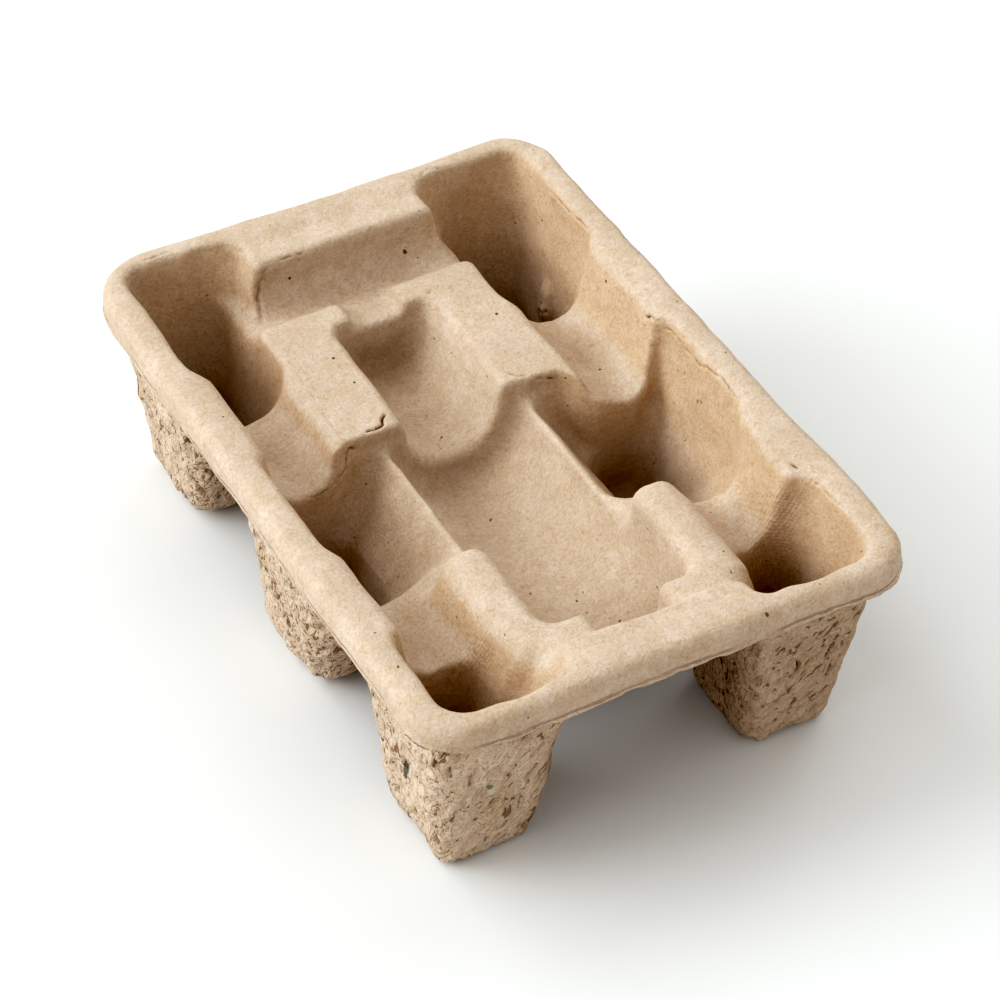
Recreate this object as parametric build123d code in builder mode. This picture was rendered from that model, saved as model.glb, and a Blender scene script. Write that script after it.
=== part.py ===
"""Moulded pulp tray insert: one pressed sheet with a rolled rim, six hollow feet and a cradle.

Frame: millimetres, +Z up, origin under the middle of the rim at the level the feet stand on.
X is the short way across the tray, Y the long way, -Y is the end with the two ridges.

The sheet is the gap between two skins. Every open space above the sheet is a drafted shape, wide
at the top as a mould needs it. The lower skin is the union of those shapes grown by one wall
thickness, and the upper skin is cut out of it by the shapes themselves.
"""
import os

from build123d import *

# ---- driving dimensions -------------------------------------------------------------------
WIDTH = 130.0  # over the rim, X
LENGTH = 183.0  # over the rim, Y
HEIGHT = 59.0  # crest of the rim above the feet
WALL = 3.0  # sheet thickness

RIM_CORNER = 13.5  # plan radius of the rim's corners
RIM_CREST = 3.6  # radius over the outer edge of the rim
RIM_EDGE = 1.7  # radius over the inner edge of the rim and the flanges
RIDGE_EDGE = 1.5
BLOCK_EDGE = 2.5
FOOT_EDGE = 4.5  # round under the feet
POCKET_EDGE = 3.0  # round on the floor of the pockets
LIP_EDGE = 0.9
LIP_BOTTOM = 50.7  # lower edge of the turned-down lip
RIM_PLATE = HEIGHT - WALL  # underside of the rim

SADDLE_FLOOR = 38.5  # U-shaped saddles between the pockets
SADDLE_IN = 33.0
SADDLE_OUT = 49.2
SADDLE_IN_TOP = 28.2
SADDLE_OUT_TOP = 55.0
SADDLE_RADIUS = 6.0
SADDLE_END = 76.0

TROUGH_AXIS = 42.0  # height of the cradle's axis
BODY_RADIUS = 19.0  # wide part of the cradle
BODY_FRONT = -65.0
BODY_BACK = 14.5
NECK_RADIUS = 12.6  # narrow part of the cradle
NECK_FLARE = 15.0  # half width of the narrow part at the top of the blocks
NECK_BACK = 54.0

BLOCK_TOP = 47.5
BLOCK_FRONT = 14.5
BLOCK_BACK = 61.0
BLOCK_OUT = 34.0
HOOK_GAP = 7.0  # half the gap between the hooks behind the narrow part
RIDGE_TOP = 52.8
RIDGE_BACK = -34.5
NOTCH_HALF = 9.5  # half width of the notch in the land before the front flange
LAND = 43.0  # edge of the cradle beside the middle pockets

SHELF_FLOOR = 43.5  # shelf between the blocks and the back flange
SHELF_RADIUS = 8.0
BACK_FLANGE = 72.5  # inner edge of the back flange
FRONT_FLANGE = -76.0  # inner edge of the front flange
FLANGE_HALF = 24.5

TOP = HEIGHT + 4.0  # every space is cut up to here

# Drafted spaces of the right-hand side, from the bottom up, mirrored to the left:
# (z, x inner, x outer, y front, y back, corner radius)
SIDE_SPACES = {
    "back_pocket": [
        (WALL, 36.0, 50.5, 57.0, 77.0, 6.0),
        (22.0, 33.8, 52.8, 48.5, 79.5, 7.0),
        (39.0, 31.8, 54.6, 40.5, 82.2, 7.0),
        (RIM_PLATE + 1.0, 30.6, 56.6, 41.5, 84.4, 7.0),
    ],
    "middle_pocket": [
        (WALL, 36.0, 50.5, -10.0, 9.0, 6.0),
        (22.0, 32.0, 52.8, -21.0, 9.2, 7.0),
        (39.0, 22.5, 54.6, -31.5, 9.4, 8.0),
        (RIM_PLATE + 1.0, 21.0, 56.4, -29.5, 9.6, 8.0),
    ],
    "front_pocket": [
        (WALL, 36.5, 50.5, -77.0, -57.0, 6.0),
        (22.0, 35.4, 52.8, -79.8, -56.0, 7.0),
        (39.0, 34.0, 54.6, -82.4, -55.0, 8.0),
        (RIM_PLATE + 1.0, 31.4, 56.6, -84.8, -53.8, 8.0),
    ],
    # the recess between a block's front face and the slope of the middle pocket
    "block_face": [
        (14.0, 32.0, 40.0, -12.0, 9.0, 3.0),
        (39.0, 22.5, 36.0, -32.0, 13.0, 4.0),
        (BLOCK_TOP, 19.5, 34.5, -34.5, 14.5, 4.0),
    ],
    # the ends of the back pockets beside the back flange
    "flange_end": [
        (SHELF_FLOOR, 29.0, 42.0, 63.0, 80.5, 5.0),
        (RIM_PLATE + 1.0, 25.6, 42.0, 61.0, 84.0, 5.0),
    ],
    # the slope between each ridge's front and the end of the front flange
    "front_cut": [
        (30.0, 38.0, 44.0, -81.0, -74.0, 2.5),
        (42.0, 32.5, 44.0, -83.0, -72.6, 3.5),
        (RIM_PLATE + 1.0, FLANGE_HALF, 44.0, -84.4, -71.0, 4.0),
    ],
}

# Outsides of the feet under the pockets, at the floor and at the underside of the rim:
# (z, x inner, x outer, y front, y back, corner radius)
FEET = [
    [(0.0, 32.0, 53.8, 52.5, 80.4, 7.0), (RIM_PLATE + 1.0, 27.5, 60.5, 36.0, 87.4, 9.5)],
    [(0.0, 32.0, 53.8, -14.0, 12.6, 7.0), (RIM_PLATE + 1.0, 27.5, 60.5, -33.0, 14.2, 9.5)],
    [(0.0, 31.0, 54.2, -80.8, -53.4, 7.0), (RIM_PLATE + 1.0, 27.0, 61.0, -87.6, -50.4, 9.5)],
]

os.makedirs("parts", exist_ok=True)

with BuildPart() as tray:
    # ---- rim ------------------------------------------------------------------------------
    # A plate with a turned-down lip, rounded over its outer edge and hollow underneath.
    with BuildSketch(Plane.XY.offset(LIP_BOTTOM)):
        RectangleRounded(WIDTH, LENGTH, RIM_CORNER)
    extrude(amount=HEIGHT - LIP_BOTTOM)
    fillet(tray.edges().group_by(Axis.Z)[-1], radius=RIM_CREST)
    with BuildSketch(Plane.XY.offset(LIP_BOTTOM)):
        RectangleRounded(WIDTH - 2 * WALL, LENGTH - 2 * WALL, RIM_CORNER - WALL)
    extrude(amount=RIM_PLATE - LIP_BOTTOM, mode=Mode.SUBTRACT)

    # ---- both skins: first the lower one, grown by the wall, then the upper one ------------
    for grow, mode in ((WALL, Mode.ADD), (0.0, Mode.SUBTRACT)):
        top = RIM_PLATE + 1.0 if grow else TOP  # the lower skin ends inside the rim's plate

        # pockets, recesses and steps of the two sides
        for sections in SIDE_SPACES.values():
            for side in (-1, 1):
                for i, (z, x0, x1, y0, y1, r) in enumerate(sections):
                    with BuildSketch(Plane.XY.offset(z - (grow if i == 0 else 0.0))):
                        with Locations((side * (x0 + x1) / 2, (y0 + y1) / 2)):
                            RectangleRounded(x1 - x0 + 2 * grow, y1 - y0 + 2 * grow, r + grow)
                if not grow and sections[-1][0] > RIM_PLATE:
                    with BuildSketch(Plane.XY.offset(top)):
                        with Locations((side * (x0 + x1) / 2, (y0 + y1) / 2)):
                            RectangleRounded(x1 - x0 + 5.0, y1 - y0 + 5.0, r + 2.5)
                loft(ruled=True, mode=mode)

        # the feet, a little thicker than the sheet
        if grow:
            for sections in FEET:
                for side in (-1, 1):
                    for z, x0, x1, y0, y1, r in sections:
                        with BuildSketch(Plane.XY.offset(z)):
                            with Locations((side * (x0 + x1) / 2, (y0 + y1) / 2)):
                                RectangleRounded(x1 - x0, y1 - y0, r)
                    loft(ruled=True)

        # saddles: a U-shaped channel down each side
        for side in (-1, 1):
            with BuildSketch(Plane.XZ.offset(-SADDLE_END - grow)) as channel:
                with BuildLine():
                    Polyline(
                        (side * (SADDLE_IN_TOP - grow), top),
                        (side * (SADDLE_IN - grow), SADDLE_FLOOR - grow),
                        (side * (SADDLE_OUT + grow), SADDLE_FLOOR - grow),
                        (side * (SADDLE_OUT_TOP + grow), top),
                        close=True,
                    )
                make_face()
                fillet(channel.vertices().group_by(Axis.Y)[0], radius=SADDLE_RADIUS + grow / 2)
            extrude(amount=2 * (SADDLE_END + grow), mode=mode)

        # cradle: the wide part, then the narrow part with its flared mouth
        with BuildSketch(Plane.XZ.offset(-BODY_BACK - grow)):
            with Locations((0, TROUGH_AXIS)):
                Circle(BODY_RADIUS + grow)
                Rectangle(
                    2 * BODY_RADIUS + 10.0,
                    BODY_RADIUS + 10.0,
                    align=(Align.CENTER, Align.MIN),
                    mode=Mode.SUBTRACT,
                )
                Rectangle(
                    2 * (BODY_RADIUS + grow), top - TROUGH_AXIS, align=(Align.CENTER, Align.MIN)
                )
        extrude(amount=BODY_BACK - BODY_FRONT + 2 * grow, mode=mode)
        with BuildSketch(Plane.XZ.offset(-NECK_BACK - grow)):
            with Locations((0, TROUGH_AXIS)):
                Circle(NECK_RADIUS + grow)
                Rectangle(
                    2 * NECK_RADIUS + 10.0,
                    NECK_RADIUS + 10.0,
                    align=(Align.CENTER, Align.MIN),
                    mode=Mode.SUBTRACT,
                )
            with BuildLine():
                Polyline(
                    (-NECK_RADIUS - grow, TROUGH_AXIS),
                    (NECK_RADIUS + grow, TROUGH_AXIS),
                    (NECK_FLARE + grow, BLOCK_TOP),
                    (-NECK_FLARE - grow, BLOCK_TOP),
                    close=True,
                )
            make_face()
        extrude(amount=NECK_BACK - BODY_BACK + 2 * grow, mode=mode)

        # gap between the hooks, and the notch in the front land
        with BuildSketch(Plane.XY.offset(SHELF_FLOOR - grow)):
            with Locations((0, (NECK_BACK + BLOCK_BACK) / 2)):
                Rectangle(2 * (HOOK_GAP + grow), BLOCK_BACK - NECK_BACK + 6.0)
        extrude(amount=BLOCK_TOP - SHELF_FLOOR + grow, mode=mode)
        with BuildSketch(Plane.XY.offset(TROUGH_AXIS - 3.0 - grow)):
            with Locations((0, (BODY_FRONT + FRONT_FLANGE) / 2 + 1.0)):
                Rectangle(2 * (NOTCH_HALF + grow), BODY_FRONT - FRONT_FLANGE + 2.0 + 2 * grow)
        extrude(amount=RIDGE_TOP - TROUGH_AXIS + 3.0 + grow, mode=mode)

        # shelf behind the blocks, curving up into the back flange
        with BuildSketch(Plane.YZ.offset(-33.0 - grow)) as shelf:
            with BuildLine():
                Polyline(
                    (BLOCK_BACK - 0.5 - grow, BLOCK_TOP + 2.0),
                    (BLOCK_BACK + 1.0 - grow, SHELF_FLOOR - grow),
                    (BACK_FLANGE - 3.0 + grow, SHELF_FLOOR - grow),
                    (BACK_FLANGE + grow + (0.0 if grow else 0.7), top),
                    (BLOCK_BACK - 0.5 - grow, top),
                    close=True,
                )
            make_face()
            fillet(
                shelf.vertices().group_by(Axis.Y)[0].sort_by(Axis.X)[-1],
                radius=SHELF_RADIUS + grow / 2,
            )
        extrude(amount=2 * (33.0 + grow), mode=mode)

        # open space over the blocks, over the edge of the cradle, and over the ridges
        for low, half, y0, y1 in (
            (BLOCK_TOP, BLOCK_OUT, BLOCK_FRONT, BLOCK_BACK + 1.0),
            (LAND, BLOCK_OUT, RIDGE_BACK, BLOCK_FRONT),
            (RIDGE_TOP, BLOCK_OUT, FRONT_FLANGE, RIDGE_BACK),
        ):
            with BuildSketch(Plane.XY.offset(low - grow)):
                with Locations((0, (y0 + y1) / 2)):
                    Rectangle(2 * (half + grow), y1 - y0 + 2 * grow)
            extrude(amount=top - low + grow, mode=mode)

    # ---- rounded edges ---------------------------------------------------------------------
    # Round the inner edge of the rim and flanges, the ridges, the blocks, the feet inside and out,
    # and the lower edge of the lip.
    def level_edges(level):
        return (
            tray.edges()
            .filter_by_position(Axis.Z, level - 0.02, level + 0.02)
            .filter_by(lambda edge: edge.bounding_box().size.Z < 0.02)
        )

    fillet(
        level_edges(RIDGE_TOP).filter_by(lambda edge: edge.center().Y > FRONT_FLANGE + 0.1),
        radius=RIDGE_EDGE,
    )
    fillet(tray.faces().sort_by(Axis.Z)[-1].inner_wires().edges(), radius=RIM_EDGE)
    for level, radius in (
        (BLOCK_TOP, BLOCK_EDGE),
        (0.0, FOOT_EDGE),
        (WALL, POCKET_EDGE),
        (LIP_BOTTOM, LIP_EDGE),
    ):
        fillet(level_edges(level), radius=radius)

tray.part.label = "tray"
export_step(tray.part, "parts/tray.step")
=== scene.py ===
import math

import bmesh
import bpy
import numpy as np
from mathutils import Matrix
from mathutils.kdtree import KDTree


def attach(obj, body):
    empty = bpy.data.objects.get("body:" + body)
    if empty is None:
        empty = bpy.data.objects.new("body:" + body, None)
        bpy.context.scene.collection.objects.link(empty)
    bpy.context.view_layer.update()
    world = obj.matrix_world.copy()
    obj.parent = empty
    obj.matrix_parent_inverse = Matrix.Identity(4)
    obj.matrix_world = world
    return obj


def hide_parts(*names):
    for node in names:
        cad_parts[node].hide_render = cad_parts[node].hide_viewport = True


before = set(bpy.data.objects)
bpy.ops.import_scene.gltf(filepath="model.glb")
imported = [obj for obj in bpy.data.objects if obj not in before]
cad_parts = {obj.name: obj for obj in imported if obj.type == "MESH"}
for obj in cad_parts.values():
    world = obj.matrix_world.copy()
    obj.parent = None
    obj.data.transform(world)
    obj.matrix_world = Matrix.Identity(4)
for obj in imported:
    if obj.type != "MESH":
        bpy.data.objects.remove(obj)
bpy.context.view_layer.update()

# ---------------------------------------------------------------- sizes, in mm
VOXEL = 0.62
HALF_X, HALF_Y, TOP = 65.0, 91.5, 59.0
BACK_LEFT, BACK_RIGHT, FRONT_CORNER = 17.0, 13.5, 11.5
RIM_ROUND = 3.5
FLANGE_TOP = 58.3
WALL = 2.9
LIP_WALL = 2.7
LIP_BOTTOM = 50.7

# Side pockets and the feet around them: height, x from and to, y from and to, corner radius.
BACK_POCKET = ((3, 36.0, 50.5, 55.5, 75.4, 6), (22, 33.8, 52.8, 47.6, 78.4, 7), (39, 31.8, 54.6, 40.5, 82.4, 7),
               (45, 31.2, 55.4, 40.5, 83.2, 7), (57, 30.6, 57.0, 41.5, 84.8, 6))
MIDDLE_POCKET = ((3, 36.5, 50.5, -10.0, 9.0, 6), (22, 32.6, 52.8, -21.0, 9.4, 7),
                 (40, 21.0, 54.4, -31.0, 9.8, 5), (57, 18.0, 56.4, -26.5, 9.8, 4))
FRONT_POCKET = ((3, 37.0, 50.5, -77.0, -57.0, 6), (22, 36.3, 52.8, -79.8, -56.0, 7), (39, 35.0, 54.6, -82.4, -55.0, 8),
                (47, 33.2, 55.6, -83.8, -54.4, 8), (57, 31.6, 56.8, -85.4, -54.2, 7))
FRONT_CUT = ((26, 38, 44, -81.0, -74.0, 2.5), (40, 33.0, 44, -83.0, -72.6, 3.5), (50, 28.0, 44, -84.6, -72.0, 4),
             (57, 25.0, 44, -85.4, -71.4, 4))
FLANGE_END = ((43.5, 28.5, 40, 62, 80.0, 5), (57, 25.6, 40, 60, 84.6, 5))
BACK_FOOT = ((0, 32.5, 53.6, 50.0, 78.2, 6), (48, 28.0, 58.8, 37, 85.6, 8))
MIDDLE_FOOT = ((0, 32.5, 54.0, -16.4, 11.6, 6), (48, 26.0, 61.4, -31, 13.2, 8))
FRONT_FOOT = ((0, 30.6, 54.4, -81.0, -53.4, 4.5), (48, 24.2, 61.8, -87.8, -50.6, 7))
FRONT_FOOT_RIGHT = ((0, 29.4, 53.8, -81.0, -53.4, 4.5), (48, 22.0, 57.8, -87.8, -50.6, 7))


# ---------------------------------------------------------------- distance fields
def join(a, b, r):
    """Union of two spaces; the edge left between them is rounded by r."""
    return np.maximum(r, np.minimum(a, b)) - np.hypot(np.maximum(r - a, 0), np.maximum(r - b, 0))


def both(a, b, r):
    """Overlap of two spaces; the corner inside it is rounded by r."""
    return np.minimum(-r, np.maximum(a, b)) + np.hypot(np.maximum(r + a, 0), np.maximum(r + b, 0))


def rect(qx, qy, r):
    a, b = qx + r, qy + r
    return np.hypot(np.maximum(a, 0), np.maximum(b, 0)) + np.minimum(np.maximum(a, b), 0) - r


def plan(x, y, x0, x1, y0, y1, r):
    return rect(np.abs(x - (x0 + x1) / 2) - (x1 - x0) / 2, np.abs(y - (y0 + y1) / 2) - (y1 - y0) / 2, r)


def at(z, heights, values):
    return np.interp(z.ravel(), heights, values).reshape(z.shape).astype(np.float32)


def drafted(x, y, z, sections):
    s = np.array(sections, float).T
    return plan(x, y, *[at(z, s[0], row) for row in s[1:]])


def pocket(x, y, z, sections, floor_round):
    return both(drafted(x, y, z, sections), sections[0][0] - z, floor_round)


def rim_edge(x, y):
    # The back edge bows in a little and the right edge bulges near its front.
    bulge = 1.1 * np.exp(-((y + 62) / 20) ** 2) * np.clip(x / 40, 0, 1)
    bow = 1.0 * np.exp(-(x / 28) ** 2) * np.clip(y / 60, 0, 1)
    x, y = x - bulge, y + bow
    r = np.where(y < 0, FRONT_CORNER, np.where(x < 0, BACK_LEFT, BACK_RIGHT)).astype(np.float32)
    return plan(x, y, -HALF_X, HALF_X, -HALF_Y, HALF_Y, r)


def air_over(sx, y, z):
    """Distance to the open space above the sheet, negative in it."""
    x = np.abs(sx)
    # The wall behind the middle pockets runs forward from the block's front, more so on the right.
    wall_left = at(x, [20, 29, 33, 38, 50], [14.5, 14.3, 12.6, 10.2, 9.8])
    wall_right = at(x, [20, 29, 31.7, 34, 37, 47, 50, 54.5], [13.8, 12.9, 9.8, 7.0, 4.8, 4.0, 5.0, 8.6])
    wall = np.where(sx < 0, wall_left, wall_right)
    side = pocket(x, y, z, BACK_POCKET, 5)
    middle_pocket = np.maximum(pocket(x, y - (wall - 9.8) * at(z, [3, 39], [0.25, 1.0]), z, MIDDLE_POCKET, 5),
                               -y - at(z, [3, 22, 39, 57], [10.0, 21.0, 31.0, 26.5]).astype(np.float32) - 4)
    side = np.minimum(side, middle_pocket)
    front = join(pocket(x, y, z, FRONT_POCKET, 5), pocket(x, y, z, FRONT_CUT, 3), 4.0)
    side = np.minimum(side, front)
    out = at(z, [38, 42.5, 47, 53, 59], [48.4, 50.2, 51.4, 52.9, 54.3])
    inn = at(z, [38, 39.5, 42, 47.6, 53, 59], [39.7, 38.0, 35.4, 32.8, 31.6, 31])
    # On the right the saddle's outer wall draws in before the front pocket.
    out = out - np.where(sx > 0, 2.2, 0).astype(np.float32) * at(y, [-46, -34], [1, 0])
    saddle = both(np.maximum(inn - x, x - out), 38.2 - z, 6)
    saddle = np.maximum(saddle, np.abs(y) - 70)
    side = join(side, saddle, at(y, [-60, -47, -36, -25, 0, 12, 30, 45], [1.5, 1.5, 3.2, 3, 2.2, 2.0, 2.4, 2.4]))

    low = np.minimum(z - 42.0, 0)
    up = np.maximum(z - 42.0, 0)
    body = both(np.hypot(x, low) - 19.4 - 0.05 * up, np.abs(y + 25.25) - 39.75, 4)
    neck = both(np.hypot(x, low) - 12.6 - 0.36 * up, np.abs(y - 24.0) - 30.0, 4)
    gap = both(plan(x, y, -7.2, 7.2, 40, 68, 1), 43.4 - z, 3)
    notch = both(plan(x, y, -9.6, 9.6, -76.4, -55, 4), 39.5 - z, 6)
    middle = join(body, neck, 2.2)
    middle = join(middle, gap, 2.0)
    middle = join(middle, notch, 2.5)

    land = both(np.maximum(x - 36, np.maximum(y - wall - 0.2, -34.6 - y)), 41.6 - z, 2.5)
    over_blocks = np.maximum(plan(x, y, -40, 40, -30, 66, 1), 47.5 - z)
    shelf = both(plan(x, y, -40, 40, 60.8, 72.4, 2), 43.5 - z, 8)
    flange_end = pocket(x, y, z, FLANGE_END, 3)
    foot_end = plan(x, y, -36, 36, -76.2, -28, 3)
    over_ridges = both(foot_end, 52.8 - z, 4)
    middle = join(middle, land, at(y, [-38, -26], [5.0, 2.4]))
    middle = join(middle, shelf, 2.0)
    middle = join(middle, over_blocks, 1.6)
    middle = join(middle, over_ridges, 4.0)

    side = join(side, flange_end, 2.5)
    inside = join(side, middle, at(y, [-40, -26, 5, 12], [5.0, 3.0, 2.0, 1.8]))
    edge = rim_edge(sx, y)
    crown = FLANGE_TOP + (TOP - FLANGE_TOP) * np.clip(1 - ((-edge - 5.0) / 5.0) ** 2, 0, 1)
    return join(inside, crown - z, 2.2)


def even(d, h):
    """Rescales a field to unit slope near its zero."""
    g = np.gradient(d, h)
    slope = np.sqrt(g[0] ** 2 + g[1] ** 2 + g[2] ** 2)
    return d / np.clip(slope, 0.35, 1.6)


def build_field(h):
    xs = np.arange(-HALF_X - 2.4, HALF_X + 2.4 + h, h).astype(np.float32)
    ys = np.arange(-HALF_Y - 2.4, HALF_Y + 2.4 + h, h).astype(np.float32)
    zs = np.arange(-1.6, TOP + 2.4 + h, h).astype(np.float32)
    x, y, z = xs[:, None, None], ys[None, :, None], zs[None, None, :]
    air = even(air_over(x, y, z).astype(np.float32), h)
    edge = rim_edge(x, y)
    outer = both(edge, z - TOP, RIM_ROUND)
    ragged = 0.62 + 0.30 * np.sin(0.55 * x + 0.9 * np.sin(0.21 * y)) * np.sin(0.47 * y + 0.8 * np.sin(0.33 * x))
    ragged = ragged * np.where(y < -80, 1.0, np.where(x > 0, 0.7, 0.35)).astype(np.float32)
    outer = join(outer, np.maximum(edge - ragged, np.abs(z - LIP_BOTTOM - 0.55) - 0.55), 0.25)
    skirt = both(-(edge + LIP_WALL), LIP_BOTTOM - z, 0.3)
    # The right front foot's outer wall is thinner.
    under = air - (WALL - 1.1 * np.clip((x - 50) / 4, 0, 1) * np.clip((49 - z) / 3, 0, 1) * np.clip((-42 - y) / 6, 0, 1))
    lean = np.abs(x) + np.where(x > 0, 2.4, 0).astype(np.float32) * np.clip(z / 48, 0, 1)
    for sections, bottom in ((BACK_FOOT, 5.5), (MIDDLE_FOOT, 5.5), (FRONT_FOOT, 4.0)):
        shape = drafted(lean, y, z, sections)
        if sections is FRONT_FOOT:
            shape = np.where(x > 0, drafted(x, y, z, FRONT_FOOT_RIGHT), shape)
        foot = both(shape, z - 56, 1)
        under = join(under, both(foot, -z, bottom), 3.0)
    under = join(under, skirt, 0.5)
    sheet = both(np.maximum(-air, outer), under, 0.5)
    sheet = np.maximum(sheet, -z)
    return sheet.astype(np.float32), air, (float(xs[0]), float(ys[0]), float(zs[0]))


# ---------------------------------------------------------------- field to mesh
def skin(f, origin, h):
    inside = f < 0
    nx, ny, nz = f.shape
    count = np.zeros((nx - 1, ny - 1, nz - 1), np.int8)
    for i in (0, 1):
        for j in (0, 1):
            for k in (0, 1):
                count += inside[i:nx - 1 + i, j:ny - 1 + j, k:nz - 1 + k]
    cells = np.argwhere((count > 0) & (count < 8))
    ids = np.full(count.shape, -1, np.int32)
    ids[cells[:, 0], cells[:, 1], cells[:, 2]] = np.arange(len(cells))
    corner = {}
    for i in (0, 1):
        for j in (0, 1):
            for k in (0, 1):
                corner[i, j, k] = f[cells[:, 0] + i, cells[:, 1] + j, cells[:, 2] + k]
    total = np.zeros((len(cells), 3))
    n = np.zeros(len(cells))
    for a in corner:
        for axis in range(3):
            if a[axis]:
                continue
            b = tuple(1 if q == axis else a[q] for q in range(3))
            fa, fb = corner[a], corner[b]
            cut = (fa < 0) != (fb < 0)
            t = np.where(cut, fa / np.where(cut, fa - fb, 1), 0)
            p = np.array(a, float)[None, :].repeat(len(cells), 0)
            p[:, axis] = t
            total += np.where(cut[:, None], p, 0)
            n += cut
    verts = (cells + total / n[:, None]) * h + np.array(origin)
    quads = []
    for axis in range(3):
        u, v = (axis + 1) % 3, (axis + 2) % 3
        lo = [slice(None)] * 3
        hi = [slice(None)] * 3
        lo[axis], hi[axis] = slice(None, -1), slice(1, None)
        a, b = inside[tuple(lo)], inside[tuple(hi)]
        e = np.argwhere(a != b)
        e = e[(e[:, u] > 0) & (e[:, v] > 0) & (e[:, u] < f.shape[u] - 1) & (e[:, v] < f.shape[v] - 1)]
        down = a[e[:, 0], e[:, 1], e[:, 2]]

        def cell(du, dv):
            c = e.copy()
            c[:, u] += du
            c[:, v] += dv
            return ids[c[:, 0], c[:, 1], c[:, 2]]

        q = np.stack([cell(-1, -1), cell(0, -1), cell(0, 0), cell(-1, 0)], 1)
        q[~down] = q[~down][:, ::-1]
        quads.append(q)
    return verts, np.concatenate(quads)


def sample(f, origin, h, p):
    g = (p - np.array(origin)) / h
    g = np.clip(g, 0, np.array(f.shape) - 1.001)
    i = g.astype(int)
    t = g - i
    out = 0
    for a in (0, 1):
        for b in (0, 1):
            for c in (0, 1):
                w = (t[:, 0] if a else 1 - t[:, 0]) * (t[:, 1] if b else 1 - t[:, 1]) * (t[:, 2] if c else 1 - t[:, 2])
                out = out + w * f[i[:, 0] + a, i[:, 1] + b, i[:, 2] + c]
    return out


def slope_at(f, origin, h, p):
    g = np.zeros_like(p)
    for q in range(3):
        s = np.zeros(3)
        s[q] = h * 0.5
        g[:, q] = (sample(f, origin, h, p + s) - sample(f, origin, h, p - s)) / h
    return g


def relax(verts, quads):
    total = np.zeros_like(verts)
    n = np.zeros(len(verts))
    for a, b in ((0, 1), (1, 2), (2, 3), (3, 0)):
        for s, t in ((a, b), (b, a)):
            for q in range(3):
                total[:, q] += np.bincount(quads[:, s], verts[quads[:, t], q], len(verts))
            n += np.bincount(quads[:, s], minlength=len(verts))
    return total / n[:, None]


field, air, origin = build_field(VOXEL)
verts, quads = skin(field, origin, VOXEL)
for step in range(2):
    verts = 0.5 * verts + 0.5 * relax(verts, quads)
    g = slope_at(field, origin, VOXEL, verts)
    d = sample(field, origin, VOXEL, verts)
    verts -= np.clip(d / np.maximum((g ** 2).sum(1), 0.2), -0.4, 0.4)[:, None] * g


# ---------------------------------------------------------------- hand of the mould: waviness and rough outsides
def noise(p, cell, seed):
    """Smooth random values in -1..1 at points p, with features of about cell mm."""
    table = np.random.default_rng(seed).random((32, 32, 32)) * 2 - 1
    g = p / cell + 100.0
    i = np.floor(g).astype(int)
    t = g - i
    t = t * t * t * (t * (t * 6 - 15) + 10)
    out = 0
    for a in (0, 1):
        for b in (0, 1):
            for c in (0, 1):
                w = (t[:, 0] if a else 1 - t[:, 0]) * (t[:, 1] if b else 1 - t[:, 1]) * (t[:, 2] if c else 1 - t[:, 2])
                out = out + w * table[(i[:, 0] + a) % 32, (i[:, 1] + b) % 32, (i[:, 2] + c) % 32]
    return out


def ramp(v, lo, hi):
    t = np.clip((v - lo) / (hi - lo), 0, 1)
    return t * t * (3 - 2 * t)


g = slope_at(field, origin, VOXEL, verts)
normals = g / np.maximum(np.linalg.norm(g, axis=1), 1e-6)[:, None]
depth = sample(air, origin, VOXEL, verts)
x, y, z = verts.T
outside = ramp(depth, 0.9, 2.0)
lip = ramp(rim_edge(x, y), -2.0, -0.6) * ramp(z, 49.8, 50.8)
rough = outside * (1 - 0.9 * lip)
along = np.array([0.52, 0.34, 0.78])
along /= np.linalg.norm(along)


def hollow_at(points):
    """How far a place sits down in the sheet: about 0.5 on a flat top, towards 1 in a deep pocket."""
    step = 4
    solid = (air[::step, ::step, ::step] > 0).astype(np.float32)
    gx = origin[0] + VOXEL * step * np.arange(solid.shape[0])
    gy = origin[1] + VOXEL * step * np.arange(solid.shape[1])
    solid *= (rim_edge(gx[:, None], gy[None, :]) < 1)[:, :, None]
    reach = 4
    solid = np.pad(solid, ((12, 12), (12, 12), (12, 12)))
    solid[:, :, :12] = solid[:, :, 12:13]
    for axis in range(3):
        for turn in range(2):
            total = np.cumsum(solid, axis=axis)
            solid = (np.roll(total, -reach, axis) - np.roll(total, reach + 1, axis)) / (2 * reach + 1)
            solid = np.clip(solid, 0, 1)
    corner = np.array(origin) - 12 * VOXEL * step
    return sample(solid, corner, VOXEL * step, points)


# Painted shade: the colour is darkened and browned down in the pockets, where shade falls.
painted_shade = 0.5 + (hollow_at(verts + normals * 1.5) - 0.5) * (1 - outside)
# Painted shadow: the pulp is made browner on the inner faces of the feet, under the middle of the tray and on the front
# of the right front foot.
inward = ramp(-np.sign(x) * normals[:, 0], 0.05, 0.65)
under = np.maximum(inward, ramp(-rim_edge(x, y), 14, 26))
facing = ramp(x, 8, 16) * ramp(-y, 44, 50) * ramp(-normals[:, 1], 0.2, 0.7)
painted_shade += outside * ramp(z, 50.5, 49) * np.maximum(0.20 * under, 0.13 * facing)
painted_shade = 0.5 + (painted_shade - 0.5) * (1 - 0.35 * ramp(x, 20, 30) * ramp(y, -32, -24) * ramp(y, 14, 8) * ramp(z, 34, 20))

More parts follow.
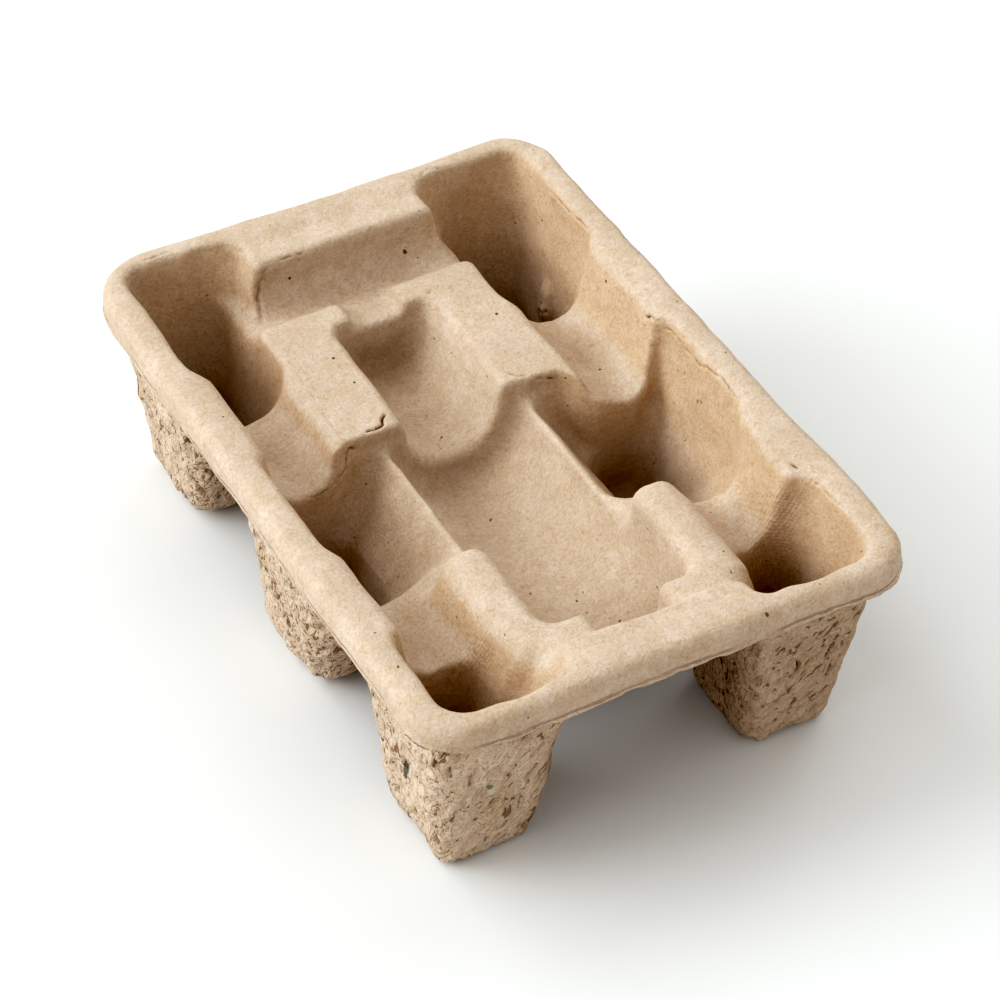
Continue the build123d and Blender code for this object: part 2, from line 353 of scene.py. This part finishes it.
# Slits torn into the outside: centre, direction, half length, half width, depth.
rng = np.random.default_rng(77)
spots = np.flatnonzero((rough > 0.7) & (z > 1.5))
tree = KDTree(len(spots))
for i, s in enumerate(spots):
    tree.insert(verts[s], i)
tree.balance()
slit = np.zeros(len(verts))
ridge = np.zeros(len(verts))
PITS = ((38.3, -84.9, 27.3), (46.1, -85.7, 28.7), (49.1, -84.0, 20.5), (-57.5, -3.0, 22.0), (-57.0, -6.5, 17.0))
picks = [(s, False) for s in rng.choice(spots, 620, replace=False)]
picks += [(spots[tree.find(pit)[1]], True) for pit in PITS]
for s, pit in picks:
    n = normals[s]
    turn = along + rng.normal(0, 0.28, 3)
    t = turn - (turn @ n) * n
    size = np.linalg.norm(t)
    if size < 0.3:
        continue
    t /= size
    side = np.cross(n, t)
    length = 1.7 if pit else rng.uniform(1.4, 3.4)
    width = 0.9 if pit else rng.uniform(0.40, 0.62)
    deep = 1.4 if pit else rng.uniform(0.4, 1.1)
    bend = rng.normal(0, 0.12)
    near = [k for _, k, _ in tree.find_range(verts[s], length + 1.2)]
    near = spots[near]
    q = verts[near] - verts[s]
    a = q @ t
    b = q @ side + bend * a * a
    mask = ramp(1.25 - np.hypot(a / length, b / width), 0, 0.9) * deep
    slit[near] = np.maximum(slit[near], mask)
    edge = ramp(1.2 - np.hypot(a / (length * 1.1), (b - 1.1) / 0.8), 0, 0.9) * deep
    ridge[near] = np.maximum(ridge[near], edge)

wave = np.stack([noise(verts, 17, 10 + q) * 0.55 + noise(verts, 6.5, 20 + q) * 0.2 for q in range(3)], 1)
wave[:, 2] *= ramp(z, 1, 12) * 0.6
across = verts - (verts @ along)[:, None] * along * 0.72
gouge = ramp(noise(across, 2.6, 31), 0.18, 0.6) * ramp(noise(verts, 7, 32), -0.4, 0.3)
lumps = noise(verts, 5.0, 34) * 0.34 + noise(across, 2.4, 35) * 0.60 + noise(across, 1.3, 37) * 0.36
move = rough * (0.25 * (1 - ramp(z, 45, 50)) + 0.74 * lumps - 0.90 * gouge - 1.2 * slit + 0.3 * ridge)
move += (1 - rough) * noise(verts, 3.2, 36) * 0.07
# The walls of the feet step in under the lip.
move -= outside * ramp(z, 45.5, 49.0) * ramp(z, 51.2, 50.4) * ramp(rim_edge(x, y), -7.0, -4.5) * 1.0
# A clot of pulp stuck low on the back right pocket's outer wall.
clot = ramp(1 - ((y - 59) / 4.2) ** 2 - ((z - 26) / 8.0) ** 2, 0, 0.9) * (x > 46) * (1 - outside)
move += clot * (1.7 + 0.8 * noise(verts, 3.0, 38))
verts = verts + wave + normals * move[:, None]
# The lip is less deep around the front left corner.
lip_level = verts[:, 2].copy()
corner_lift = 2.1 * np.exp(-((x + 61) ** 2 + (y + 86) ** 2) / (2 * 8.5 ** 2))
verts[:, 2] += corner_lift * ramp(z, 44.5, 50.0) * ramp(z, 57.5, 51.5) * outside
verts[:, 2] = np.maximum(verts[:, 2], 0)
# Painted shade: the colour is darkened in the torn slits and gouges, and in a thin band just under the lip.
painted_crease_shade = rough * np.clip(0.55 * slit + 0.15 * gouge, 0, 1)
painted_crease_shade = np.maximum(painted_crease_shade, 0.27 * outside * ramp(z, 48.3, 50.0) * ramp(z, 51.0, 50.5) * ramp(rim_edge(x, y), -7.0, -4.5))
WEAVE = ((48.9, -49.8, 41.2, 12, 1.0), (48.7, -55.9, 33.1, 11, 1.0), (52.5, -52.0, 48.2, 9, 0.9), (54.7, -13.0, 41.6, 10, 0.5),
         (-15.0, -69.0, 52.8, 5, 0.9), (-28.2, -66.8, 52.0, 6, 0.7), (-33.6, -58.3, 43.6, 9, 0.7), (24.0, -52.0, 52.0, 10, 0.5))
weave = np.zeros(len(verts))
for cx, cy, cz, reach, share in WEAVE:
    away = np.linalg.norm(verts - np.array([cx, cy, cz]), axis=1)
    weave = np.maximum(weave, share * ramp(away, reach, reach * 0.45))
weave *= 1 - outside


def make_mesh(name, verts, quads):
    me = bpy.data.meshes.new(name)
    me.vertices.add(len(verts))
    me.vertices.foreach_set("co", (verts * 0.001).astype(np.float32).ravel())
    me.loops.add(quads.size)
    me.loops.foreach_set("vertex_index", quads.astype(np.int32).ravel())
    me.polygons.add(len(quads))
    me.polygons.foreach_set("loop_start", np.arange(0, quads.size, 4, dtype=np.int32))
    me.polygons.foreach_set("loop_total", np.full(len(quads), 4, np.int32))
    me.update(calc_edges=True)
    me.validate()
    return me


def add(name, mesh):
    o = bpy.data.objects.new(name, mesh)
    bpy.context.scene.collection.objects.link(o)
    return o


def mark(mesh, name, values):
    layer = mesh.attributes.new(name, "FLOAT", "POINT")
    layer.data.foreach_set("value", values.astype(np.float32))


# Cracks and creases: depth, half width, strength of the painted shade along them, then the points they run through.
CRACKS = (
    (0.9, 0.50, 1.0, ((-15.6, 19.4, 46.7), (-17.2, 18.8, 47.2), (-18.9, 17.0, 47.3), (-20.8, 16.0, 47.1), (-23.0, 16.0, 46.9),
                      (-25.3, 15.5, 46.2))),
    (0.9, 0.50, 0.9, ((-26.4, 15.1, 43.9), (-28.2, 15.1, 44.4), (-29.3, 15.0, 45.0), (-29.9, 14.7, 44.1), (-30.6, 14.1, 42.7),
                      (-30.8, 13.2, 40.0), (-33.1, 12.0, 38.6))),
    (0.4, 0.40, 0.5, ((-33.1, 12.0, 38.6), (-38.0, 9.9, 38.5), (-43.7, 10.5, 37.9))),
    (0.3, 0.36, 0.5, ((-29.1, 52.5, 47.3), (-29.3, 43.0, 47.4), (-29.6, 34.2, 47.3), (-30.4, 29.3, 47.3), (-29.9, 24.4, 47.4),
                      (-30.5, 16.0, 47.3))),
    (0.7, 0.85, 0.50, ((-22.0, 72.5, 57.0), (-23.5, 72.2, 54.5), (-25.0, 72.5, 51.9), (-25.1, 71.8, 48.8), (-25.2, 70.8, 47.1),
                       (-26.2, 68.9, 44.9), (-26.6, 67.2, 43.8))),
    (0.4, 0.40, 0.5, ((-26.9, 82.7, 57.3), (-25.4, 79.7, 57.2))),
    (0.45, 0.40, 0.8, ((-50.7, 86.5, 58.8), (-46.3, 86.6, 58.8), (-41.7, 86.5, 59.0))),
    (0.45, 0.40, 0.8, ((-56.5, 82.7, 58.0), (-52.8, 84.7, 56.6))),
    (0.4, 0.40, 0.6, ((-60.1, 43.1, 58.9), (-58.9, 41.7, 58.8), (-57.7, 40.3, 58.6))),
    (0.50, 0.42, 0.8, ((-18.8, 72.9, 57.5), (-15.5, 72.9, 57.5), (-11.9, 72.8, 57.3))),
    (0.55, 0.45, 0.65, ((57.0, 67.2, 56.4), (56.9, 62.3, 56.7), (57.0, 57.0, 57.1), (57.2, 51.5, 57.4), (57.3, 46.0, 58.0))),
    (0.45, 0.42, 0.4, ((28.7, 85.2, 58.3), (31.4, 86.9, 58.8), (35.9, 86.0, 58.3))),
    (0.7, 0.50, 0.9, ((53.8, 14.0, 55.4), (54.4, 10.3, 57.1), (55.9, 8.0, 57.5))),
    (0.55, 0.45, 0.65, ((55.9, 7.2, 56.5), (56.5, 0.2, 55.4), (56.4, -7.4, 55.1), (57.0, -16.8, 57.8), (56.7, -24.2, 57.3))),
    (0.6, 0.48, 0.8, ((54.3, -48.7, 56.8), (56.3, -53.3, 58.3))),
    (0.50, 0.45, 0.60, ((57.0, -57.6, 57.2), (57.7, -66.2, 57.9), (58.3, -75.0, 58.7))),
    (0.4, 0.38, 0.5, ((-28.7, -37.2, 51.9), (-26.1, -36.3, 52.2), (-24.6, -37.1, 52.5))),
    (0.35, 0.38, 0.45, ((-31.5, -54.6, 50.5), (-28.8, -56.2, 52.3), (-25.0, -56.5, 52.9))),
    (0.7, 0.50, 0.65, ((17.1, 18.9, 47.6), (19.6, 16.2, 47.5), (23.5, 14.9, 45.9), (28.9, 14.1, 44.3))),
    (0.9, 0.60, 0.8, ((51.2, 60.5, 21.5), (51.4, 57.7, 24.4), (51.6, 55.0, 27.6))),
    (0.6, 0.50, 0.7, ((13.6, 54.5, 47.5), (15.5, 54.3, 47.7), (17.1, 53.8, 47.7))),
)


def crack_paths():
    """Each crack as a chain of points 0.5 mm apart that wanders a little."""
    paths = []
    for k, (deep, wide, crack_shade, points) in enumerate(CRACKS):
        points = np.array(points)
        run = np.concatenate([[0], np.cumsum(np.linalg.norm(np.diff(points, axis=0), axis=1))])
        at_run = np.arange(0, run[-1] + 0.01, 0.5)
        chain = np.stack([np.interp(at_run, run, points[:, q]) for q in range(3)], 1)
        steady = np.minimum(at_run, run[-1] - at_run)
        chain += np.stack([noise(chain, 1.6, 50 + q) * 0.4 + noise(chain, 4.0, 60 + q) * 0.4 for q in range(3)], 1)
        fade = ramp(steady, -0.4, 1.5) * (0.75 + 0.35 * noise(chain, 2.0, 70 + k))
        paths.append((chain, deep * fade, np.full(len(chain), wide), crack_shade * fade))
    return [np.concatenate(part) for part in zip(*paths)]


def cut_cracks(mesh):
    chain, deep, wide, crack_shade = crack_paths()
    tree = KDTree(len(chain))
    for i, c in enumerate(chain):
        tree.insert(c, i)
    tree.balance()
    bm = bmesh.new()
    bm.from_mesh(mesh)
    co = np.zeros(len(mesh.vertices) * 3, np.float32)
    mesh.vertices.foreach_get("co", co)
    co = co.reshape(-1, 3) * 1000.0
    close = np.zeros(len(co), bool)
    for c in chain[::2]:
        box = np.flatnonzero((np.abs(co[:, 0] - c[0]) < 1.6) & (np.abs(co[:, 1] - c[1]) < 1.6) & (np.abs(co[:, 2] - c[2]) < 1.6))
        close[box] = True
    edges = [e for e in bm.edges if close[e.verts[0].index] and close[e.verts[1].index]]
    bmesh.ops.subdivide_edges(bm, edges=edges, cuts=2, use_grid_fill=True)
    bm.normal_update()
    layer = bm.verts.layers.float["painted_crease_shade"]
    skin_layer = bm.verts.layers.float["rough"]
    for v in bm.verts:
        if v.index >= 0 and v.index < len(close) and not close[v.index]:
            continue
        place, i, away = tree.find(v.co * 1000.0)
        if away > 2.4 or v[skin_layer] > 0.5:
            continue
        t = max(0.0, 1.0 - away / (wide[i] * 1.25))
        t = t * t * (3 - 2 * t)
        lift = math.exp(-((away - 2.1 * wide[i]) / (0.9 * wide[i])) ** 2)
        v.co += v.normal * (0.18 * deep[i] * lift - deep[i] * t) * 0.001
        # Painted shade: the crack is darkened along its line.
        v[layer] = max(v[layer], min(1.0, 1.3 * t) * crack_shade[i])
    bm.to_mesh(mesh)
    bm.free()


tray = add("tray_pulp", make_mesh("tray_pulp", verts, quads))
mark(tray.data, "rough", rough)
mark(tray.data, "painted_crease_shade", painted_crease_shade)
mark(tray.data, "painted_shade", painted_shade)
mark(tray.data, "weave", weave)
mark(tray.data, "lip", lip)
mark(tray.data, "level", lip_level)
# Painted shade: the steep inner walls of the side pockets get a warmer, slightly darker tint, more so higher up.
wall = (1 - outside) * ramp(normals[:, 2], 0.75, 0.35) * ramp(-rim_edge(x, y), 4, 8)
mark(tray.data, "wall", wall * ramp(np.abs(x), 20, 30) * (0.1 + 0.9 * ramp(z, 20, 38)))
cut_cracks(tray.data)
full = sum(len(p.vertices) - 2 for p in tray.data.polygons)
cut = tray.modifiers.new("fewer", "DECIMATE")
cut.ratio = min(1.0, 197000 / full)
less = bpy.data.meshes.new_from_object(tray.evaluated_get(bpy.context.evaluated_depsgraph_get()))
tray.modifiers.clear()
tray.data = less
less.polygons.foreach_set("use_smooth", np.ones(len(less.polygons), bool))

# ---------------------------------------------------------------- finish
pulp = bpy.data.materials.new("pulp")
pulp.use_nodes = True
nodes, links = pulp.node_tree.nodes, pulp.node_tree.links
shader = nodes["Principled BSDF"]


def node(kind, inputs, **settings):
    n = nodes.new("ShaderNode" + kind)
    for name, value in settings.items():
        setattr(n, name, value)
    for name, value in inputs.items():
        if isinstance(value, bpy.types.NodeSocket):
            links.new(value, n.inputs[name])
        else:
            n.inputs[name].default_value = value
    return n


def calc(operation, a, b=0.0, c=0.0):
    return node("Math", {0: a, 1: b, 2: c}, operation=operation).outputs[0]


def step(value, lo, hi, to_lo=0.0, to_hi=1.0):
    return node("MapRange", {"Value": value, "From Min": lo, "From Max": hi, "To Min": to_lo, "To Max": to_hi},
                interpolation_type="SMOOTHSTEP").outputs[0]


def clouds(vector, size, detail=2.0, rough=0.5, bend=0.0):
    return node("TexNoise", {"Vector": vector, "Scale": 1.0 / size, "Detail": detail, "Roughness": rough,
                             "Distortion": bend}).outputs[0]


def shift(vector, by):
    return node("VectorMath", {0: vector, 1: by}, operation="ADD").outputs[0]


def blend(factor, a, b, kind="MIX"):
    n = node("Mix", {0: factor}, data_type="RGBA", blend_type=kind)
    for slot, value in ((6, a), (7, b)):
        if isinstance(value, bpy.types.NodeSocket):
            links.new(value, n.inputs[slot])
        else:
            n.inputs[slot].default_value = (*value, 1)
    return n.outputs[2]


def hairs(vector, offset, size, width, share):
    """Thin curling lines, broken into short lengths."""
    place = shift(vector, offset)
    line = calc("ABSOLUTE", calc("SUBTRACT", clouds(place, size, 1.0, 0.55), 0.5))
    line = step(line, width, width * 0.3)
    return calc("MULTIPLY", line, step(clouds(place, size * 0.5, 0.0), share, share + 0.1))


def squeeze(vector, axis, factor):
    """Shortens the space along an axis, so that round things in it come out long."""
    along_it = node("VectorMath", {0: vector, 1: axis}, operation="DOT_PRODUCT").outputs["Value"]
    part = node("VectorMath", {0: axis, "Scale": calc("MULTIPLY", along_it, 1.0 / factor - 1.0)}, operation="SCALE").outputs[0]
    return node("VectorMath", {0: vector, 1: part}, operation="ADD").outputs[0]


def warp(vector, size, amount):
    wander = node("TexNoise", {"Vector": vector, "Scale": 1.0 / size, "Detail": 0.0}).outputs["Color"]
    wander = node("VectorMath", {0: wander, 1: (0.5, 0.5, 0.5)}, operation="SUBTRACT").outputs[0]
    return node("VectorMath", {0: wander, 1: (amount, amount, amount), 2: vector}, operation="MULTIPLY_ADD").outputs[0]


def specks(vector, offset, cell, radius, share, soft=0.05):
    """Scattered grains of random size; share is the part of the cells that hold none."""
    cells = node("TexVoronoi", {"Vector": shift(vector, offset), "Scale": 1.0 / cell})
    pick = node("SeparateColor", {0: cells.outputs["Color"]})
    reach = calc("MULTIPLY", step(pick.outputs[0], share, 1.0, 0.35, 1.0), radius / cell)
    reach = calc("MULTIPLY", reach, calc("GREATER_THAN", pick.outputs[0], share))
    return step(calc("SUBTRACT", reach, cells.outputs["Distance"]), 0.0, soft)


spot = node("TexCoord", {}).outputs["Object"]
spot = node("VectorMath", {0: spot, "Scale": 1000.0}, operation="SCALE").outputs[0]
rough_mask = node("Attribute", {}, attribute_name="rough").outputs["Fac"]
painted_crease_shade_mask = node("Attribute", {}, attribute_name="painted_crease_shade").outputs["Fac"]
painted_shade_mask = node("Attribute", {}, attribute_name="painted_shade").outputs["Fac"]
weave_mask = node("Attribute", {}, attribute_name="weave").outputs["Fac"]
lip_mask = node("Attribute", {}, attribute_name="lip").outputs["Fac"]
painted_wall_shade_mask = node("Attribute", {}, attribute_name="wall").outputs["Fac"]

bent = warp(spot, 2.2, 1.5)
broad = clouds(spot, 16.0, 1.0)
patchy = clouds(shift(spot, (31, 7, 5)), 3.6, 3.0, 0.6)
grain = clouds(shift(spot, (3, 57, 11)), 0.8, 2.0, 0.7)
curl = warp(spot, 6.0, 9.0)
felt = clouds(squeeze(curl, (0.6, 0.64, 0.48), 4.0), 0.7, 1.0, 0.6)
brown_hair = hairs(bent, (0, 23, 9), 2.8, 0.045, 0.54)
black_hair = specks(squeeze(curl, (0.3, 0.8, 0.52), 9.0), (40, 3, 29), 1.1, 0.16, 0.90)
fleck = specks(bent, (5, 5, 5), 2.1, 0.40, 0.91)
dot = step(clouds(shift(spot, (17, 9, 2)), 0.95, 1.0), 0.66, 0.72)

# Torn outside: flaking plates with slits between them that run up the walls, in patches; the slits are darkened with
# painted shade.
torn = squeeze(warp(spot, 4.5, 1.3), tuple(along), 5.0)
bark = clouds(shift(torn, (2, 9, 4)), 1.5, 2.0, 0.50)
bark = calc("MULTIPLY_ADD", broad, 0.30, bark)
plates = calc("MULTIPLY", step(bark, 0.54, 0.76), rough_mask)
slits_and_shade = calc("MULTIPLY", step(bark, 0.530, 0.465), rough_mask)

# Painted shadow: two fine dark lines along the lip, one just above the flash where the mould halves met and one at its
# lower edge.
level = node("Attribute", {}, attribute_name="level").outputs["Fac"]
level = calc("MULTIPLY_ADD", patchy, 0.9, level)
lip_groove_and_shadow = step(calc("ABSOLUTE", calc("SUBTRACT", level, 52.75)), 0.36, 0.10)
lip_groove_and_shadow = calc("MULTIPLY", lip_groove_and_shadow, step(broad, 0.36, 0.56, 0.15, 1.0))
lip_groove_and_shadow = calc("MAXIMUM", lip_groove_and_shadow, step(calc("ABSOLUTE", calc("SUBTRACT", level, 51.1)), 0.65, 0.15, 0.0, 1.35))
lip_groove_and_shadow = calc("MULTIPLY", lip_groove_and_shadow, lip_mask)

# Print of the forming screen, a fine even grid.
net = None
for tilt in ((6.6, 1.7, 0.9), (-1.6, 6.5, 1.6), (-0.6, -1.8, 6.7)):
    wave_node = calc("SINE", node("VectorMath", {0: spot, 1: tilt}, operation="DOT_PRODUCT").outputs["Value"])
    net = wave_node if net is None else calc("ADD", net, wave_node)
net = calc("MULTIPLY", net, weave_mask)

colour = blend(step(broad, 0.3, 0.7), (0.532, 0.427, 0.343), (0.588, 0.478, 0.391))
colour = blend(calc("MULTIPLY", step(patchy, 0.35, 0.65), 0.5), colour, (0.500, 0.376, 0.266))
colour = blend(step(grain, 0.3, 0.7), blend(1.0, colour, (0.915, 0.905, 0.885), "MULTIPLY"),
               blend(1.0, colour, (1.06, 1.065, 1.07), "MULTIPLY"))
colour = blend(calc("MULTIPLY", step(felt, 0.42, 0.68), 0.26), colour, blend(1.0, colour, (0.80, 0.77, 0.73), "MULTIPLY"))
colour = blend(calc("MULTIPLY", brown_hair, 0.24), colour, (0.30, 0.205, 0.125))
colour = blend(calc("MULTIPLY", dot, 0.22), colour, (0.30, 0.215, 0.14))
colour = blend(calc("MULTIPLY", black_hair, 0.60), colour, (0.16, 0.105, 0.065))
colour = blend(calc("MULTIPLY", fleck, 0.80), colour, (0.10, 0.065, 0.040))
colour = blend(step(net, 0.4, 1.8, 0.0, 0.10), colour, (0.30, 0.22, 0.15))
# Painted shade: warmer, slightly darker colour on the steep inner pocket walls.
colour = blend(painted_wall_shade_mask, colour, blend(1.0, colour, (0.99, 0.925, 0.840), "MULTIPLY"))
# Painted shade: browner, darker pulp down in the pockets, under the tray and on the front of the right front foot.
colour = blend(step(painted_shade_mask, 0.50, 0.90), colour, blend(1.0, colour, (0.52, 0.395, 0.270), "MULTIPLY"))
colour = blend(rough_mask, colour, blend(1.0, colour, (1.13, 1.115, 1.10), "MULTIPLY"))
# Painted shade: the slits are darkened.
colour = blend(calc("MULTIPLY", slits_and_shade, 0.80), colour, blend(1.0, colour, (0.40, 0.28, 0.18), "MULTIPLY"))
# Painted shadow: the two lines along the lip are darkened.
colour = blend(calc("MULTIPLY", lip_groove_and_shadow, 0.30), colour, blend(1.0, colour, (0.45, 0.35, 0.26), "MULTIPLY"))
# Painted shade: darker in the slits, gouges and cracks and just under the lip.
colour = blend(step(painted_crease_shade_mask, 0.10, 0.85), colour, blend(1.0, colour, (0.32, 0.24, 0.17), "MULTIPLY"))

# Single bits in the pulp: place, size, squash along z, colour.
BITS = (((-45.8, -85.6, 29.8), 0.95, 1.3, (0.17, 0.25, 0.16)), ((-58.9, -69.3, 25.6), 1.5, 0.52, (0.115, 0.11, 0.088)),
        ((22.7, -90.4, 57.6), 0.75, 0.9, (0.13, 0.085, 0.05)), ((-18.7, 43.0, 47.8), 0.5, 1.0, (0.07, 0.045, 0.03)),
        ((-18.2, 32.7, 47.7), 0.42, 1.0, (0.10, 0.065, 0.045)), ((26.1, 39.5, 47.4), 0.5, 1.0, (0.10, 0.07, 0.045)),
        ((-15.9, 72.2, 50.9), 0.5, 1.0, (0.08, 0.05, 0.03)), ((17.0, 71.4, 47.7), 0.6, 0.7, (0.09, 0.06, 0.035)),
        ((44.1, 17.5, 38.5), 0.45, 1.0, (0.09, 0.06, 0.035)), ((52.9, 31.0, 54.3), 0.5, 1.0, (0.09, 0.06, 0.035)))
crooked = warp(spot, 1.2, 0.7)
for place, size, squash, tint in BITS:
    gap = node("VectorMath", {0: crooked, 1: place}, operation="SUBTRACT").outputs[0]
    gap = node("VectorMath", {0: gap, 1: (1.0, 1.0, squash)}, operation="MULTIPLY").outputs[0]
    gap = node("VectorMath", {0: gap}, operation="LENGTH").outputs["Value"]
    colour = blend(step(gap, size, size * 0.72, 0.0, 0.9), colour, tint)
links.new(colour, shader.inputs["Base Color"])

links.new(step(patchy, 0.3, 0.7, 0.88, 0.97), shader.inputs["Roughness"])
shader.inputs["Specular IOR Level"].default_value = 0.22

crumble = calc("MULTIPLY_ADD", rough_mask, 2.4, 1.0)
height = calc("MULTIPLY", grain, 0.13)
height = calc("MULTIPLY_ADD", patchy, 0.24, height)
height = calc("MULTIPLY", height, crumble)
height = calc("MULTIPLY_ADD", felt, 0.12, height)
height = calc("MULTIPLY_ADD", net, 0.022, height)
height = calc("MULTIPLY_ADD", slits_and_shade, -0.70, height)
height = calc("MULTIPLY_ADD", plates, 0.55, height)
height = calc("MULTIPLY_ADD", lip_groove_and_shadow, -0.35, height)
bump = node("Bump", {"Strength": 1.0, "Distance": 0.001, "Height": height})
links.new(bump.outputs[0], shader.inputs["Normal"])
tray.data.materials.clear()
tray.data.materials.append(pulp)

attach(tray, "root")
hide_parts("tray")

# ---------------------------------------------------------------- stage
white = bpy.data.materials.new("floor_white")
white.use_nodes = True
w = white.node_tree.nodes["Principled BSDF"]
w.inputs["Base Color"].default_value = (0.744, 0.744, 0.742, 1)
w.inputs["Roughness"].default_value = 0.9
w.inputs["Specular IOR Level"].default_value = 0.1
me = bpy.data.meshes.new("floor")
me.from_pydata([(-4, -4, 0), (4, -4, 0), (4, 4, 0), (-4, 4, 0)], [], [(0, 1, 2, 3)])
floor = add("floor", me)
me.materials.append(white)

world = bpy.data.worlds.new("studio")
bpy.context.scene.world = world
world.use_nodes = True
world.node_tree.nodes["Background"].inputs["Color"].default_value = (1.0, 0.985, 0.945, 1)
world.node_tree.nodes["Background"].inputs["Strength"].default_value = 0.905


def aim(o, place, target):
    back = np.array(place, float) - np.array(target, float)
    back /= np.linalg.norm(back)
    right = np.cross([0, 0, 1], back)
    right /= np.linalg.norm(right)
    up = np.cross(back, right)
    m = Matrix.Identity(4)
    for i in range(3):
        m[i][0], m[i][1], m[i][2], m[i][3] = right[i], up[i], back[i], place[i]
    o.matrix_world = m


def softbox(name, place, target, size, energy, tint):
    light = bpy.data.lights.new(name, "AREA")
    light.shape = "DISK"
    light.size = size
    light.energy = energy
    light.color = tint
    o = bpy.data.objects.new(name, light)
    bpy.context.scene.collection.objects.link(o)
    aim(o, place, target)


# A ring of soft boxes: turn from the back towards the left and height, both in degrees, and share of full light.
for turn, rise, share in ((-60, 28, 0.178), (65, 28, 0.627), (95, 28, 0.181), (35, 48, 0.384), (95, 68, 0.052), (-60, 68, 0.081)):
    f, e = math.radians(turn), math.radians(rise)
    softbox("soft_%d_%d" % (turn, rise),
            (-math.sin(f) * math.cos(e) * 2.2, math.cos(f) * math.cos(e) * 2.2, math.sin(e) * 2.2 + 0.03), (0, 0, 0.03),
            1.3, math.pi ** 2 * 2.2 ** 2 * share * 1.10, (0.909, 0.973, 1.0))

# Camera: turn, height angle and tilt in radians, then offsets and distance in mm.
TURN, RAISE, TILT = -0.550543, 0.762363, 0.0496466
ACROSS, UPWARD, AWAY = 4.7786, 19.8674, 881.4227
back = np.array([math.sin(TURN) * math.cos(RAISE), -math.cos(TURN) * math.cos(RAISE), math.sin(RAISE)])
right = np.cross(-back, [0, 0, 1])
right /= np.linalg.norm(right)
up = np.cross(right, -back)
place = (back * AWAY + ACROSS * right + UPWARD * up) * 0.001
r2 = math.cos(TILT) * right + math.sin(TILT) * up
u2 = -math.sin(TILT) * right + math.cos(TILT) * up
cam = bpy.data.cameras.new("camera")
cam.sensor_width = 36.0
cam.lens = 3.480880 * 36.0
cam.clip_start = 0.01
cam_o = bpy.data.objects.new("camera", cam)
bpy.context.scene.collection.objects.link(cam_o)
m = Matrix.Identity(4)
for i in range(3):
    m[i][0], m[i][1], m[i][2], m[i][3] = r2[i], u2[i], back[i], place[i]
cam_o.matrix_world = m
bpy.context.scene.camera = cam_o
bpy.context.scene.view_settings.view_transform = "Standard"
bpy.context.scene.view_settings.gamma = 0.75
# The camera's response: a black level and a soft shoulder.
BLACK, SHOULDER = 0.05, 0.5
WHITE = 1.0 + SHOULDER * 0.55 ** 2
response = bpy.context.scene.view_settings.curve_mapping
bpy.context.scene.view_settings.use_curve_mapping = True
response.initialize()
response.black_level = (BLACK, BLACK, BLACK)
response.white_level = (WHITE, WHITE, WHITE)
curve = response.curves[3]
for shown in (0.3, 0.45, 0.55, 0.65, 0.75, 0.85, 0.93):
    light_in = shown * (1 - BLACK) + SHOULDER * max(shown - 0.45, 0.0) ** 2
    curve.points.new(light_in / (WHITE - BLACK), shown)
for point in curve.points:
    point.handle_type = "VECTOR"
response.update()
